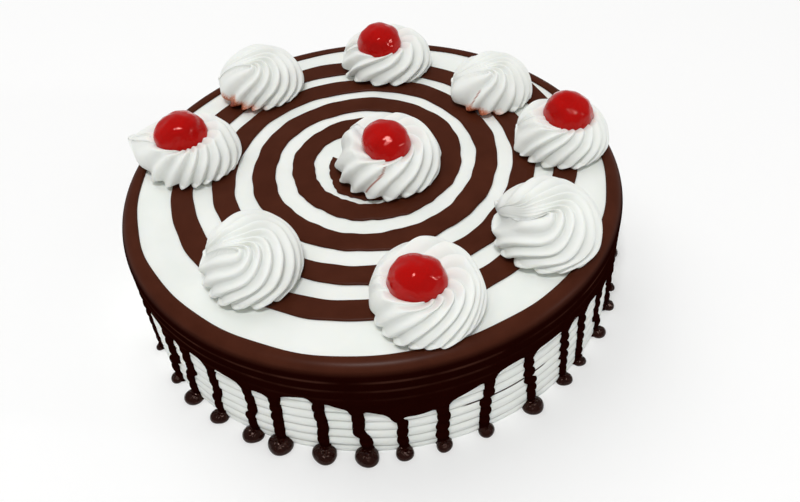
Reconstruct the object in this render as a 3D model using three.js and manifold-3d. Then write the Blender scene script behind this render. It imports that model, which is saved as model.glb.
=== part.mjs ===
// A black forest cake: a round sponge cake under whipped cream, with a combed side, a chocolate
// glaze that runs over its edge in drips, a chocolate spiral on top, nine piped cream rosettes
// and five glacé cherries. Millimetres, +Z up, origin at the centre of the base.
import * as THREE from "three";
import { mergeVertices } from "three/addons/utils/BufferGeometryUtils.js";
import Module from "manifold-3d";

// ---------------------------------------------------------------- driving dimensions
const CAKE_RADIUS = 113.4; // the cream side, over the comb ridges
const CAKE_HEIGHT = 55.5; // base to the flat cream top
const TOP_RADIUS = 106.5; // the flat top inside the rounded shoulder
const SHOULDER_DROP = 7; // how far down the rounded shoulder reaches
const RIDGE_PITCH = 5.68; // the cake comb's tooth spacing
const RIDGE_DEPTH = 0.9;
const FIRST_GROOVE = 3.7; // height of the lowest comb groove
const GROOVE_COUNT = 7; // those above are under the glaze

const GAP = 0.3; // between pieces that touch
const GLAZE_RADIUS = 115; // the widest place of the chocolate collar
const GLAZE_INNER_EDGE = 107; // where the collar starts on the flat top
const GLAZE_THICKNESS = 1.1; // of the collar and of the spiral on the top
const GLAZE_EDGE = 37.5; // usual height of the collar's lower edge
const COLLAR_SIDES = 54;
const CREAM_SIDES = 40;

const STEPS_ALONG = 9; // stations along each ridge of a rosette
const RIDGE_HEIGHT = 1.15; // half the height from valley to crest, on a rosette
const CHERRY_CENTRE = 15.7; // above the cake's top
const CHERRY_SQUASH = 0.93;
const CHERRY_GAP = 0.4; // a little more than GAP, as a cherry's facets cut its corners
// The hollow that a cherry presses: its slopes outside the cherry and under it, how far it lies
// below the cherry's middle as a share of the radius, and its lowest place above the cake's top
const BOWL_SLOPES = [0.3, 1];
const BOWL_DROP = 0.03;
const BOWL_FLOOR = 3.5;

// Places where the collar's edge hangs lower: [angle in degrees, depth, half width in degrees]
const EDGE_DIPS = [[-84, 13, 13], [-99, 2.2, 4], [-116, 4, 8], [-22, 7, 16], [32, 5, 12],
                   [68, 9, 15], [112, 4, 10], [146, 8, 14], [178, 3, 9]];

// Drips that were let run first: [angle of the foot in degrees, half width of the drop there,
// how many degrees the upper part stands beside the foot, height of that step]. Then there is
// one every DRIP_STEP round the back.
const FIRST_DRIPS = [
  [-156, 2.2, -0.6, 10], [-145, 3.2, 2.4, 15], [-137.7, 4.4, 1.6, 18], [-129.3, 4.1, 0.9, 15],
  [-120, 4.6, 0.9, 14], [-113.3, 5.4, 0.5, 20], [-103.5, 5.3, 0.2, 14], [-94.6, 5.3, -1.1, 13],
  [-86.8, 4, -1.1, 21.5], [-78.4, 3.6, 0.2, 15], [-68.9, 3.5, 1, 22], [-57, 4.6, -1.2, 18],
  [-46.9, 3.6, -0.6, 16], [-40.6, 2.9, -0.5, 18], [-30.8, 3.6, -2, 12], [-22, 3.3, -1.2, 18],
  [-16, 2.6, 0.3, 12]];
const DRIP_STEP = 10.8;
const LAST_DRIP = 185;

// Rosettes: where the centre stands, the half widths along X and Y and the height, and the
// cherry's place from that centre and its radius. starts: where the valleys between the ridges
// begin at the foot, in degrees round from +X; the first is the tail. twist: how far a ridge
// turns as it climbs. tight: above 1 the ridges crowd round the nest. fold: how wide the first
// ridge is. bow: how far a ridge bows out on its way round the nest. dip: how low the inner
// ridges pass on their way to the tail. tail: how far the tail is pulled out and up, and how much
// of the swirl goes with it. shift: where the nest lies off its usual place.
const ROSETTES = [
  { name: "front", at: [20, -82.8], size: [22.3, 25.4, 24.6], cherry: [-3.4, -1.6, 11.4],
    starts: [166, 189, 206, 223, 239, 256, 272, 288, 303, 318, 332, 345], twist: 17, bow: 0.92,
    tail: [1, 4, 0.3] },
  { name: "front_right", at: [73, -50.3], size: [22.2, 23.8, 24], fold: 1.5, bow: 1.3,
    starts: [150, 178, 194, 212, 238, 262, 285, 305, 322, 336, 348], twist: 15, dip: 0.18,
    tail: [3, 8, 0.3] },
  { name: "right", at: [90.2, 11.8], size: [21.2, 21.2, 21.5], cherry: [3.5, 1.8, 11.5],
    starts: [165, 194, 208, 227, 250, 268, 285, 300, 314, 327, 340, 352], twist: 16,
    tight: 1.18 },
  { name: "back_right", at: [63, 55.6], size: [19.6, 19.8, 20.4],
    starts: [170, 215, 236, 262, 286, 304, 318, 330, 341, 352, 362], twist: 12, tight: 1.1 },
  { name: "back", at: [12, 88.4], size: [22.6, 20.6, 21.5], cherry: [-3, -2, 11.3],
    starts: [165, 192, 206, 235, 266, 288, 306, 322, 336, 348], twist: 15 },
  { name: "back_left", at: [-54, 76.2], size: [21, 21.2, 22],
    starts: [178, 214, 236, 252, 268, 288, 306, 320, 333, 345, 356], twist: 13 },
  { name: "left", at: [-84, 20.3], size: [22.4, 22, 21.6], cherry: [-3, 1.2, 12],
    starts: [162, 206, 232, 254, 270, 284, 298, 312, 325, 337, 348, 358], twist: 9,
    tight: 1.35, tail: [11, 8, 0.42] },
  { name: "front_left", at: [-50.4, -57], size: [20.3, 23.5, 24], fold: 1.2,
    starts: [168, 184, 203, 221, 238, 262, 290, 314, 332, 346, 358], twist: 15 },
  { name: "centre", at: [8.7, 4.4], size: [23.6, 25.9, 23], cherry: [0, -2.4, 11.4],
    starts: [120, 160, 190, 212, 233, 254, 276, 294, 310, 324, 337, 349, 360], twist: 8,
    tight: 1.2, shift: [0.03, 0.15] },
];
const USUAL_TAIL = [1, 7, 0.3];

// ---------------------------------------------------------------- small helpers
const wasm = await Module();
wasm.setup();
const FULL_TURN = 2 * Math.PI;
const radians = THREE.MathUtils.degToRad;
const smooth = THREE.MathUtils.smoothstep;
const range = (count) => [...Array(count).keys()];
const polar = (angle, radius, z) => [radius * Math.cos(angle), radius * Math.sin(angle), z];

// A closed geometry as a solid that can be cut and joined
function solid(geometry) {
  const bare = geometry.clone();
  bare.deleteAttribute("normal");
  bare.deleteAttribute("uv");
  const merged = mergeVertices(bare, 1e-4);
  return new wasm.Manifold(new wasm.Mesh({
    numProp: 3,
    vertProperties: new Float32Array(merged.attributes.position.array),
    triVerts: new Uint32Array(merged.index.array),
  }));
}

function geometryOf(body) {
  const mesh = body.getMesh();
  const geometry = new THREE.BufferGeometry();
  geometry.setAttribute("position", new THREE.BufferAttribute(mesh.vertProperties, 3));
  geometry.setIndex(new THREE.BufferAttribute(mesh.triVerts, 1));
  return geometry;
}

function geometryFrom(points, triangles) {
  const geometry = new THREE.BufferGeometry();
  geometry.setAttribute("position", new THREE.Float32BufferAttribute(points.flat(), 3));
  geometry.setIndex(triangles);
  return geometry;
}

// A skin over rings that all have the same number of points, in the same order. A loop joins
// its last ring to the first; otherwise both ends get flat caps.
function loft(rings, loop = false) {
  const around = rings[0].length;
  const triangles = [];
  for (const i of range(loop ? rings.length : rings.length - 1)) {
    const next = (i + 1) % rings.length;
    for (const j of range(around)) {
      const k = (j + 1) % around;
      const [a, b, c, d] = [i * around + j, i * around + k, next * around + k, next * around + j];
      triangles.push(a, b, c, a, c, d);
    }
  }
  if (!loop) {
    const last = (rings.length - 1) * around;
    for (const j of range(around - 2)) {
      triangles.push(0, j + 2, j + 1, last, last + j + 1, last + j + 2);
    }
  }
  return geometryFrom(rings.flat(), triangles);
}

// The same small unevenness every time: a number from -1 to 1 for each whole number
function uneven(seed) {
  const wave = Math.sin(seed * 127.1 + 31.7) * 43758.5453;
  return 2 * (wave - Math.floor(wave)) - 1;
}

const part = new THREE.Group();
function add(name, geometry, material) {
  const mesh = new THREE.Mesh(geometry, material);
  mesh.name = name;
  part.add(mesh);
}

const cream = new THREE.MeshStandardMaterial({ color: 0xeef4ef, roughness: 0.55 });
const chocolate = new THREE.MeshStandardMaterial({ color: 0x3a1610, roughness: 0.3 });
const cherryRed = new THREE.MeshStandardMaterial({ color: 0xa60806, roughness: 0.12 });

// ---------------------------------------------------------------- the cake and its cream coat
// Half the outline of the cream, from the base's middle out, up the combed side and in over
// the shoulder to the top's middle
function creamOutline() {
  const comb = range(GROOVE_COUNT).flatMap((i) => {
    const groove = FIRST_GROOVE + i * RIDGE_PITCH;
    return [[CAKE_RADIUS - RIDGE_DEPTH, groove], [CAKE_RADIUS, groove + RIDGE_PITCH / 2]];
  });
  const shoulder = [0, 35, 65].map(radians).map((angle) => [
    TOP_RADIUS + (CAKE_RADIUS - TOP_RADIUS) * Math.cos(angle),
    CAKE_HEIGHT - SHOULDER_DROP + SHOULDER_DROP * Math.sin(angle),
  ]);
  return [[0, 0], [CAKE_RADIUS - 0.5, 0], ...comb, ...shoulder,
          [TOP_RADIUS, CAKE_HEIGHT], [0, CAKE_HEIGHT]];
}

function creamCake() {
  const outline = creamOutline().map(([radius, height]) => new THREE.Vector2(radius, height));
  const geometry = new THREE.LatheGeometry(outline, CREAM_SIDES).rotateX(Math.PI / 2);
  return geometryOf(solid(geometry));
}

// ---------------------------------------------------------------- the chocolate collar
// Height of the collar's lower edge: a level edge with soft dips
function edgeHeight(degrees) {
  const dips = EDGE_DIPS.map(([angle, depth, halfWidth]) => {
    const away = ((degrees - angle + 540) % 360) - 180;
    return depth * Math.exp(-((away / halfWidth) ** 2));
  });
  return GLAZE_EDGE - dips.reduce((sum, dip) => sum + dip, 0);
}

// The inner wall keeps its gap to the cream also in the middle of a flat facet
const COLLAR_INNER = (CAKE_RADIUS + GAP) / Math.cos(Math.PI / COLLAR_SIDES) + 0.05;

// One section of the collar, counter-clockwise when X points out and Z up: [radius, height].
// It is a thin skin that follows the cream over the shoulder and gets thinner at its two edges.
// An ease swells it into the space that a neighbour has to leave.
const EDGE_BEVEL = 0.6;
const EDGE_RISE = 2.5; // over this height the lower edge reaches its full thickness
const SHOULDER_BENDS = [0, 28, 55, 80]; // degrees up from the side
// Where the inside runs over the cream's shoulder: from the cream's side and top
const INSIDE_SHOULDER = [[3.2, 0.55], [0.8, 2.9]];
function collarSection(edge, ease = 0) {
  const under = CAKE_HEIGHT + GAP;
  const top = under + GLAZE_THICKNESS + ease;
  const outside = GLAZE_RADIUS + ease;
  const bend = (turn) => [
    outside - SHOULDER_DROP * (1 - Math.cos(radians(turn))),
    top - SHOULDER_DROP * (1 - Math.sin(radians(turn))),
  ];
  return [
    [COLLAR_INNER, edge - ease],
    [outside - EDGE_BEVEL, edge - ease],
    [outside, edge + EDGE_RISE],
    ...SHOULDER_BENDS.map(bend),
    [GLAZE_INNER_EDGE + EDGE_BEVEL - ease, top],
    [GLAZE_INNER_EDGE - ease, under - ease],
    ...INSIDE_SHOULDER.map(([inward, down]) => [CAKE_RADIUS - inward, CAKE_HEIGHT - down]),
    [COLLAR_INNER, CAKE_HEIGHT - SHOULDER_DROP],
  ];
}

function collar(ease = 0) {
  const rings = range(COLLAR_SIDES).map((i) => {
    const angle = (i / COLLAR_SIDES) * FULL_TURN;
    const section = collarSection(edgeHeight(THREE.MathUtils.radToDeg(angle)), ease);
    return section.map(([radius, height]) => polar(angle, radius, height));
  });
  return solid(loft(rings.reverse(), true));
}

// One drip: half-oval sections from inside the collar down the side, a step to one side, and
// the drop that sits on the base. Each station is [height, half width, how far it stands out,
// how many degrees it stands beside the drop].
const DRIP_HALF_WIDTH = 2.45;
const DRIP_DEPTH = 1.8;
// Of a drop, as shares of its half width: how far it stands out, the height at which the drip
// runs into it and the height up to which its sides are steep
const DROP_DEPTH = 1.25;
const DROP_NECK = 0.8;
const DROP_BULGE = 0.35;
const LATER_DROP = 4.2; // usual half width of the drops round the back
const DROP_VARIETY = 0.25; // by which share either way they differ
const PLUMPNESS = 0.12; // and the drips
const LATER_LEAN = 1.3; // degrees either way
const LATER_STEP = 16; // usual height of their step to one side
const STEP_RANGE = 6; // and how far it is from there at most
const STEP_RISE = 2; // half the height that the step takes
function drip([degrees, drop, lean, stepAt], index) {
  const edge = edgeHeight(degrees);
  const plump = 1 + PLUMPNESS * uneven(index);
  const stepTop = Math.max(edge - STEP_RISE, stepAt + STEP_RISE);
  const stations = [
    [edge + 4, DRIP_HALF_WIDTH * 1.3, 0.8, lean],
    [stepTop, DRIP_HALF_WIDTH * plump, DRIP_DEPTH, lean],
    [stepAt - STEP_RISE, DRIP_HALF_WIDTH * plump, DRIP_DEPTH, 0],
    [drop * DROP_NECK, DRIP_HALF_WIDTH * 0.9, DRIP_DEPTH, 0],
    [drop * DROP_BULGE, drop, drop * DROP_DEPTH * 0.85, 0],
    [0, drop, drop * DROP_DEPTH, 0],
  ];
  const back = COLLAR_INNER + 0.1;
  const rings = stations.map(([z, halfWidth, depth, aside]) => range(5).map((j) => {
    const around = radians(-90 + 45 * j);
    const out = back + depth * Math.cos(around);
    return polar(radians(degrees + aside) + (halfWidth * Math.sin(around)) / back, out, z);
  }));
  return solid(loft(rings.reverse()));
}

function allDrips() {
  const rest = [];
  const [lastFirst] = FIRST_DRIPS.at(-1);
  for (let angle = lastFirst + DRIP_STEP; angle < LAST_DRIP; angle += DRIP_STEP) {
    rest.push([angle + 1.6 * uneven(angle), LATER_DROP * (1 + DROP_VARIETY * uneven(angle + 5)),
               LATER_LEAN * uneven(angle + 50), LATER_STEP + STEP_RANGE * uneven(angle + 20)]);
  }
  return [...FIRST_DRIPS, ...rest];
}

function chocolateRim() {
  return wasm.Manifold.union([collar(), ...allDrips().map(drip)]);
}

// ---------------------------------------------------------------- the chocolate spiral
// Middle line of the band. A plain spiral grows by one pitch in each turn; this one was poured
// round a centre that wandered, over a cake that was turned a little out of true.
const SPIRAL_START = -220; // degrees, running counter-clockwise
const SPIRAL_FIRST_RADIUS = 21.3; // at 0 degrees
const SPIRAL_PITCH = 18.2;
const SPIRAL_STEP = 12;
const SPIRAL_STEPS = 143; // to where the band has run into the collar
const SPIRAL_MEETING = 18; // the step at which the first turn has run into the second
const BAND_HALF_WIDTH = 5.4;
const BAND_BEVEL = 0.7;
function spiralRadius(degrees) {
  const turns = degrees / 360;
  const angle = radians(degrees);
  const plain = SPIRAL_FIRST_RADIUS + SPIRAL_PITCH * turns;
  const wander = (-0.9 - 0.75 * turns) * Math.cos(angle) + (11 - 1.06 * turns) * Math.sin(angle);
  const oval = -1.5 * Math.cos(2 * angle);
  const tightStart = 5.7 * smooth(degrees, -205, -135) * (1 - smooth(degrees, 0, 100));
  const wideEnd = 4.2 * smooth(degrees, 1400, 1500);
  return plain + wander + oval + tightStart + wideEnd;
}

// A stretch of the band: four-cornered sections with the upper edges drawn in
function band(first, last, ease = 0) {
  const low = CAKE_HEIGHT + GAP - ease;
  const high = CAKE_HEIGHT + GAP + GLAZE_THICKNESS + ease;
  const halfWidth = BAND_HALF_WIDTH + ease;
  const upper = halfWidth - BAND_BEVEL;
  const rings = range(last - first + 1).map((i) => {
    const degrees = SPIRAL_START + (first + i) * SPIRAL_STEP;
    const middle = spiralRadius(degrees);
    return [[-halfWidth, low], [halfWidth, low], [upper, high], [-upper, high]]
      .map(([offset, z]) => polar(radians(degrees), middle + offset, z));
  });
  return solid(loft(rings.reverse()));
}

// The first turn runs into the second, so the two stretches are joined into one band
function spiral(ease = 0) {
  return band(0, SPIRAL_MEETING + 1, ease).add(band(SPIRAL_MEETING, SPIRAL_STEPS, ease));
}

// ---------------------------------------------------------------- cherries
const CHERRY_SIDES = 9;
const CHERRY_RINGS = 6;
function cherry(radius, seed) {
  const sphere = new THREE.SphereGeometry(radius, CHERRY_SIDES, CHERRY_RINGS).rotateX(Math.PI / 2);
  const place = sphere.attributes.position;
  for (const i of range(place.count)) {
    const [x, y, z] = [place.getX(i), place.getY(i), place.getZ(i)];
    const angle = Math.atan2(y, x);
    const bulge = 1 + 0.035 * Math.cos(2 * angle + seed) + 0.02 * Math.cos(3 * angle - seed);
    const ring = Math.hypot(x, y) < 1e-6 ? 0 : bulge;
    place.setXYZ(i, x * ring, y * ring, z * CHERRY_SQUASH);
  }
  return solid(sphere);
}

// ---------------------------------------------------------------- piped rosettes
// The nozzle is set down at the front left, swept round the right and the back, and pulled off
// to the left, so every ridge is a hook. The hooks lie side by side on a flat disc of radius 1,
// which is then wrapped over a dome. Five guide hooks give the family: the first is a fold in
// the nest of the swirl, the last follows the disc's rim, and all end in the tail. For each: its
// places east of the nest, north of it, where it joins the others, and toward the tail.
const NEST = [-0.03, -0.2];
const GUIDE_HOOKS = [
  [-0.06, -0.22, -0.10, -0.20, -0.16, -0.18, -0.40, -0.10],
  [0.15, -0.27, 0.08, -0.17, -0.02, -0.18, -0.30, -0.14],
  [0.52, -0.25, 0.29, 0.05, 0.04, -0.07, -0.26, -0.13],
  [0.72, 0.30, 0.33, 0.55, -0.03, 0.20, -0.36, 0.01],
  [-0.20, 0.98, -0.55, 0.83, -0.80, 0.60, -0.94, 0.34],
];
const CLIMB_REACH = 0.72; // how far from the middle an inner hook is once it has climbed
const RIM_TWIST = 7; // degrees that the outermost hook turns as it climbs
const FULL_SPACING = 2.8; // ridges that lie closer, in mm, are lower
const TAIL_FADE = 0.55; // so near the tail, on the disc, the ridges fade
const DOME_ANGLE = radians(115); // past 90 degrees the dome curls in under itself
const BELT = 0.17; // height of the dome's widest place, as a share of its height
const SWELL_CENTRE = 0.3; // height of the point from which ridges swell, as a share as well
const FOOT_SHARE = 0.86; // width of the flat foot against the rim above it

// A place on a smooth curve that flows past the knots, which are lists of numbers (a B-spline)
function flowing(knots, position) {
  const before = knots[0].map((value, axis) => 2 * value - knots[1][axis]);
  const after = knots.at(-1).map((value, axis) => 2 * value - knots.at(-2)[axis]);
  const ends = [before, ...knots, after];
  const first = Math.min(Math.floor(position), knots.length - 2);
  const t = position - first;
  const weights = [(1 - t) ** 3, 3 * t ** 3 - 6 * t ** 2 + 4,
                   -3 * t ** 3 + 3 * t ** 2 + 3 * t + 1, t ** 3];
  return before.map((_, axis) => weights.reduce(
    (sum, weight, i) => sum + (weight * ends[first + i][axis]) / 6, 0));
}

// A place on the flat disc: number counts ridges from the nest to the rim, along runs from 0 at
// the foot to 1 at the tail
function hook(piece, number, along) {
  const { starts, twist, tight = 1, fold = 1, bow = 1.12, dip = 0, shift = [0, 0] } = piece;
  const count = starts.length - 1;
  const order = (number < 1 ? number * fold : number - 1 + fold) / (count - 1 + fold);
  const rimShare = order ** 3;
  const guide = flowing(GUIDE_HOOKS, 4 * order ** tight);
  const [east, ...later] = [0, 0, 0.4, 1].map((dipShare, i) => {
    const place = new THREE.Vector2(guide[2 * i], guide[2 * i + 1]);
    const loose = 1 - Math.min(place.length(), 1) ** 2;
    place.add(new THREE.Vector2(...shift).multiplyScalar(loose));
    place.y -= dip * dipShare * (1 - order) ** 4;
    return place;
  });
  const below = Math.min(Math.floor(number), count - 1);
  const start = starts[below] + (starts[below + 1] - starts[below]) * (number - below);
  const climb = radians(start + twist * (1 - rimShare) + RIM_TWIST * rimShare);
  const reach = CLIMB_REACH + (1 - CLIMB_REACH) * rimShare;
  const up = new THREE.Vector2(...polar(climb, reach));
  // Between the climb and the eastern place the hook goes round the nest in an even bend
  const nest = new THREE.Vector2(NEST[0] + shift[0], NEST[1] + shift[1]);
  const [from, to] = [up.clone().sub(nest), east.clone().sub(nest)];
  let turn = to.angle() - from.angle();
  if (turn < -Math.PI / 2) turn += FULL_TURN;
  const bend = from.angle() + Math.max(turn, 0) / 2;
  const bowed = bow * from.length() ** 0.4 * to.length() ** 0.6;
  const middle = new THREE.Vector2(...polar(bend, bowed)).add(nest);
  const foot = polar(radians(start), 1, 0).slice(0, 2);
  const tail = polar(radians(starts[0]), 1, 0).slice(0, 2);
  const knots = [foot, ...[up, middle, east, ...later].map((place) => place.toArray()), tail];
  return new THREE.Vector2(...flowing(knots, along * (knots.length - 1)));
}

function rosette(piece) {
  const { size: [width, depth, height], starts, tail = USUAL_TAIL, cherry } = piece;
  const count = starts.length - 1;
  const columns = 2 * count + 1;
  const tip = hook(piece, count, 1);
  const points = [];
  // One point of the skin, wrapped over the dome: a crest or a valley, higher where the hooks
  // lie wide apart
  const skin = (number, along) => {
    const place = hook(piece, number, along);
    if (number === count) place.setLength(1);
    const wider = hook(piece, Math.min(number + 0.5, count), along);
    const spacing = wider.distanceTo(hook(piece, Math.max(number - 0.5, 0), along))
      * (width + depth);
    const crest = number % 1 === 0 ? -1 : 1;
    const away = place.distanceTo(tip);
    const ridge = crest * RIDGE_HEIGHT * (1 - Math.exp(-((spacing / FULL_SPACING) ** 3)))
      * smooth(away, 0, TAIL_FADE);
    const slope = place.length() * DOME_ANGLE;
    const scale = Math.sin(slope) / Math.max(place.length(), 1e-6);
    const lift = Math.cos(slope) > 0 ? 1 - BELT : BELT;
    const out = new THREE.Vector3(place.x * scale * width, place.y * scale * depth,
                                  (BELT - SWELL_CENTRE + lift * Math.cos(slope)) * height);
    out.setLength(out.length() + ridge);
    const pull = Math.exp(-((away / tail[2]) ** 2));
    out.x += tip.x * tail[0] * pull;
    out.y += tip.y * tail[0] * pull;
    out.z += SWELL_CENTRE * height + tail[1] * pull;
    if (cherry) {
      // The cherry has pressed a hollow: no point stays higher than a bowl round the cherry
      const [aside, back, radius] = cherry;
      const farOut = Math.hypot(out.x - aside, out.y - back) - radius;
      const contact = CHERRY_CENTRE - GAP - BOWL_DROP * radius;
      const bowl = contact + BOWL_SLOPES[farOut > 0 ? 0 : 1] * farOut + ridge;
      out.z = Math.min(out.z, Math.max(bowl, BOWL_FLOOR));
    }
    return points.push(out.toArray()) - 1;
  };
  // All hooks end in one tip. The first one also starts there, and its halves are one fold.
  const last = skin(count, 1);
  const fold = range(STEPS_ALONG).map((j) => {
    if (j === 0) return last;
    return 2 * j <= STEPS_ALONG ? skin(0, j / STEPS_ALONG) : null;
  });
  const grid = range(columns).map((i) => {
    const line = range(STEPS_ALONG).map((j) => {
      if (i > 0) return skin(i / 2, j / STEPS_ALONG);
      return fold[j] ?? fold[STEPS_ALONG - j];
    });
    return [...line, last];
  });
  for (const j of range(Math.ceil(STEPS_ALONG / 2)).slice(1)) {
    const other = points[skin(0, 1 - j / STEPS_ALONG)];
    points.pop();
    points[fold[j]] = points[fold[j]].map((value, axis) => (value + other[axis]) / 2);
  }
  const triangles = [];
  const face = (a, b, c) => {
    if (a !== b && b !== c && a !== c) triangles.push(a, b, c);
  };
  for (const i of range(columns - 1)) {
    for (const j of range(STEPS_ALONG)) {
      const [a, b] = [grid[i][j], grid[i + 1][j]];
      const [c, d] = [grid[i + 1][j + 1], grid[i][j + 1]];
      face(a, b, c);
      face(a, c, d);
    }
  }
  // The underside: from the rim of the dome in to a smaller foot, and the flat foot itself
  const rim = [...grid.map((line) => line[0]), ...grid.at(-1).slice(1, -1)];
  const middle = points.push([0, 0, 0]) - 1;
  const foot = rim.map((index) => {
    const [x, y] = points[index];
    return points.push([x * FOOT_SHARE, y * FOOT_SHARE, 0]) - 1;
  });
  for (const i of range(rim.length)) {
    const next = (i + 1) % rim.length;
    face(rim[i], foot[i], foot[next]);
    face(rim[i], foot[next], rim[next]);
    face(foot[i], middle, foot[next]);
  }
  return solid(geometryFrom(points, triangles));
}

// ---------------------------------------------------------------- putting it together
const rim = chocolateRim();
const rimSpace = collar(GAP);
const spiralSpace = spiral(GAP);

add("cream_cake", creamCake(), cream);
add("chocolate_rim", geometryOf(rim), chocolate);
add("chocolate_spiral", geometryOf(spiral().subtract(rimSpace)), chocolate);

ROSETTES.forEach((piece, seed) => {
  const [x, y] = piece.at;
  let swirl = rosette(piece).translate([x, y, CAKE_HEIGHT + GAP]);
  swirl = swirl.subtract(spiralSpace).subtract(rimSpace);
  if (piece.cherry) {
    const [aside, along, radius] = piece.cherry;
    const place = [x + aside, y + along, CAKE_HEIGHT + CHERRY_CENTRE];
    swirl = swirl.subtract(cherry(radius + CHERRY_GAP, seed).translate(place));
    add(`cherry_${piece.name}`, geometryOf(cherry(radius, seed).translate(place)), cherryRed);
  }
  add(`rosette_${piece.name}`, geometryOf(swirl), cream);
});

export default part;
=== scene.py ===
# %% [markdown]
# # A black forest cake
# A round sponge cake wears a coat of whipped cream. A cake comb has ribbed its side, warm chocolate
# glaze was poured over its edge and ran down in drips, and more glaze winds over the top in a
# spiral. Nine rosettes of cream were piped on, and five of them carry a glacé cherry.
#
# The cake's solids come packed as a fixed frame in metres. This lesson dresses them: every part is
# rebuilt as a fine surface in the place of its plain solid, and gets a finish made of nodes.

import math

import bmesh
import bpy
import numpy as np
from mathutils import Matrix, Vector


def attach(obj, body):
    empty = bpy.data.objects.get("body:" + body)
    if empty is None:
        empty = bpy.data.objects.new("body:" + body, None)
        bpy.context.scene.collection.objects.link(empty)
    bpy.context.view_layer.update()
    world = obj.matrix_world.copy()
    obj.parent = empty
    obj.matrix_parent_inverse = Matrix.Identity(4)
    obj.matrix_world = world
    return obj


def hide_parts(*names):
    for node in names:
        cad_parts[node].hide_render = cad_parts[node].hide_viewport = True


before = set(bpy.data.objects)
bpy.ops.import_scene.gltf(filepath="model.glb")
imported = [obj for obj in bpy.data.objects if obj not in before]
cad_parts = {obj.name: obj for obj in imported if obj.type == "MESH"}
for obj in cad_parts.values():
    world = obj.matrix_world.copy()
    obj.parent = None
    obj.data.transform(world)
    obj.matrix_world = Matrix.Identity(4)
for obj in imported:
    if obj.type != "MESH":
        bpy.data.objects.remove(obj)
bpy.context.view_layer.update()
print("solids:", sorted(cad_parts))

# %% [markdown]
# ## The camera
# The cake is seen from the front and from well above, about half a metre away. A camera could be
# turned by three typed angles, but it is easier to aim by building its turning matrix from three
# directions: where its back points, its right and its up. It leans by a few degrees, so right and
# up are turned by that angle.

# %% Camera
MM = 0.001
CAMERA_HEIGHT_ANGLE = math.radians(44.6)
CAMERA_LEAN = math.radians(-4.55)
CAMERA_AIM = Vector((11.0, 4.66, 0.0)) * MM
CAMERA_DISTANCE = 459.2 * MM
SENSOR_WIDTH = 36.0
FOCAL_LENGTH = 40.5

back = Vector((0, -math.cos(CAMERA_HEIGHT_ANGLE), math.sin(CAMERA_HEIGHT_ANGLE)))
level_right = Vector((1, 0, 0))
level_up = back.cross(level_right)
right = math.cos(CAMERA_LEAN) * level_right + math.sin(CAMERA_LEAN) * level_up
up = math.cos(CAMERA_LEAN) * level_up - math.sin(CAMERA_LEAN) * level_right

camera_data = bpy.data.cameras.new("camera")
camera_data.lens = FOCAL_LENGTH
camera_data.sensor_width = SENSOR_WIDTH
camera_data.sensor_fit = "HORIZONTAL"
camera_data.clip_start = 0.01
camera_data.clip_end = 50
camera = bpy.data.objects.new("camera", camera_data)
bpy.context.scene.collection.objects.link(camera)
turned = Matrix((right, up, back)).transposed().to_4x4()
camera.matrix_world = Matrix.Translation(CAMERA_AIM + back * CAMERA_DISTANCE) @ turned
bpy.context.scene.camera = camera
print("camera stands at", [round(x, 3) for x in camera.location])

# %% [markdown]
# ## From a grid of numbers to a mesh
# Every piece of this cake is a surface with two parameters: a grid of points whose rows and
# columns mean something, such as "round the cake" and "up its side". Ready-made shapes and
# modifiers could make many of them, but unevenness is easier to put into a formula than into a
# modifier. numpy works out all points at once. The helpers lay out such grids, number the corners
# of the squares between the points, and fill a mesh. Where a surface closes on itself, or a row
# shrinks to a pole, equal points are welded together.

# %% Grid and mesh helpers
WELD_DISTANCE = 2e-7


def grid_squares(rows, columns, close_rows=False, close_columns=False):
    """Corner numbers of the squares of a grid whose points are numbered row by row."""
    row, column = np.meshgrid(
        np.arange(rows if close_rows else rows - 1),
        np.arange(columns if close_columns else columns - 1), indexing="ij")
    next_row = (row + 1) % rows
    next_column = (column + 1) % columns
    corners = [row * columns + column, row * columns + next_column,
               next_row * columns + next_column, next_row * columns + column]
    return np.stack(corners, axis=-1).reshape(-1, 4)


def surface(points, close_rows=False, close_columns=False, **paint):
    """One grid of points (rows, columns, xyz) in mm, as a part of a piece. paint holds numbers
    for each point that a finish can read."""
    rows, columns = points.shape[:2]
    squares = grid_squares(rows, columns, close_rows, close_columns)
    paint = {key: np.broadcast_to(value, (rows, columns)).ravel() for key, value in paint.items()}
    return points.reshape(-1, 3), squares, paint


def all_round(columns):
    """The angle of each column of a grid that goes once round and closes on itself."""
    return np.linspace(0, 2 * np.pi, columns, endpoint=False)[None, :]


def polar(radius, angle, height):
    """Points from their distance to the axis, their angle round it and their height."""
    flat = np.broadcast_arrays(radius * np.cos(angle), radius * np.sin(angle), height)
    return np.stack(flat, axis=-1)


def join_rows(angle, *parts):
    """Parts of an outline under each other, each given a column for every angle."""
    return np.concatenate([np.broadcast_to(part, (len(part), angle.size)) for part in parts])


def capped(points):
    """Closes both ends of a tube: the end rows are followed by a row in their middle."""
    ends = [np.broadcast_to(points[i].mean(axis=0), points[:1].shape) for i in (0, -1)]
    return np.concatenate([ends[0], points, ends[1]])


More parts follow.
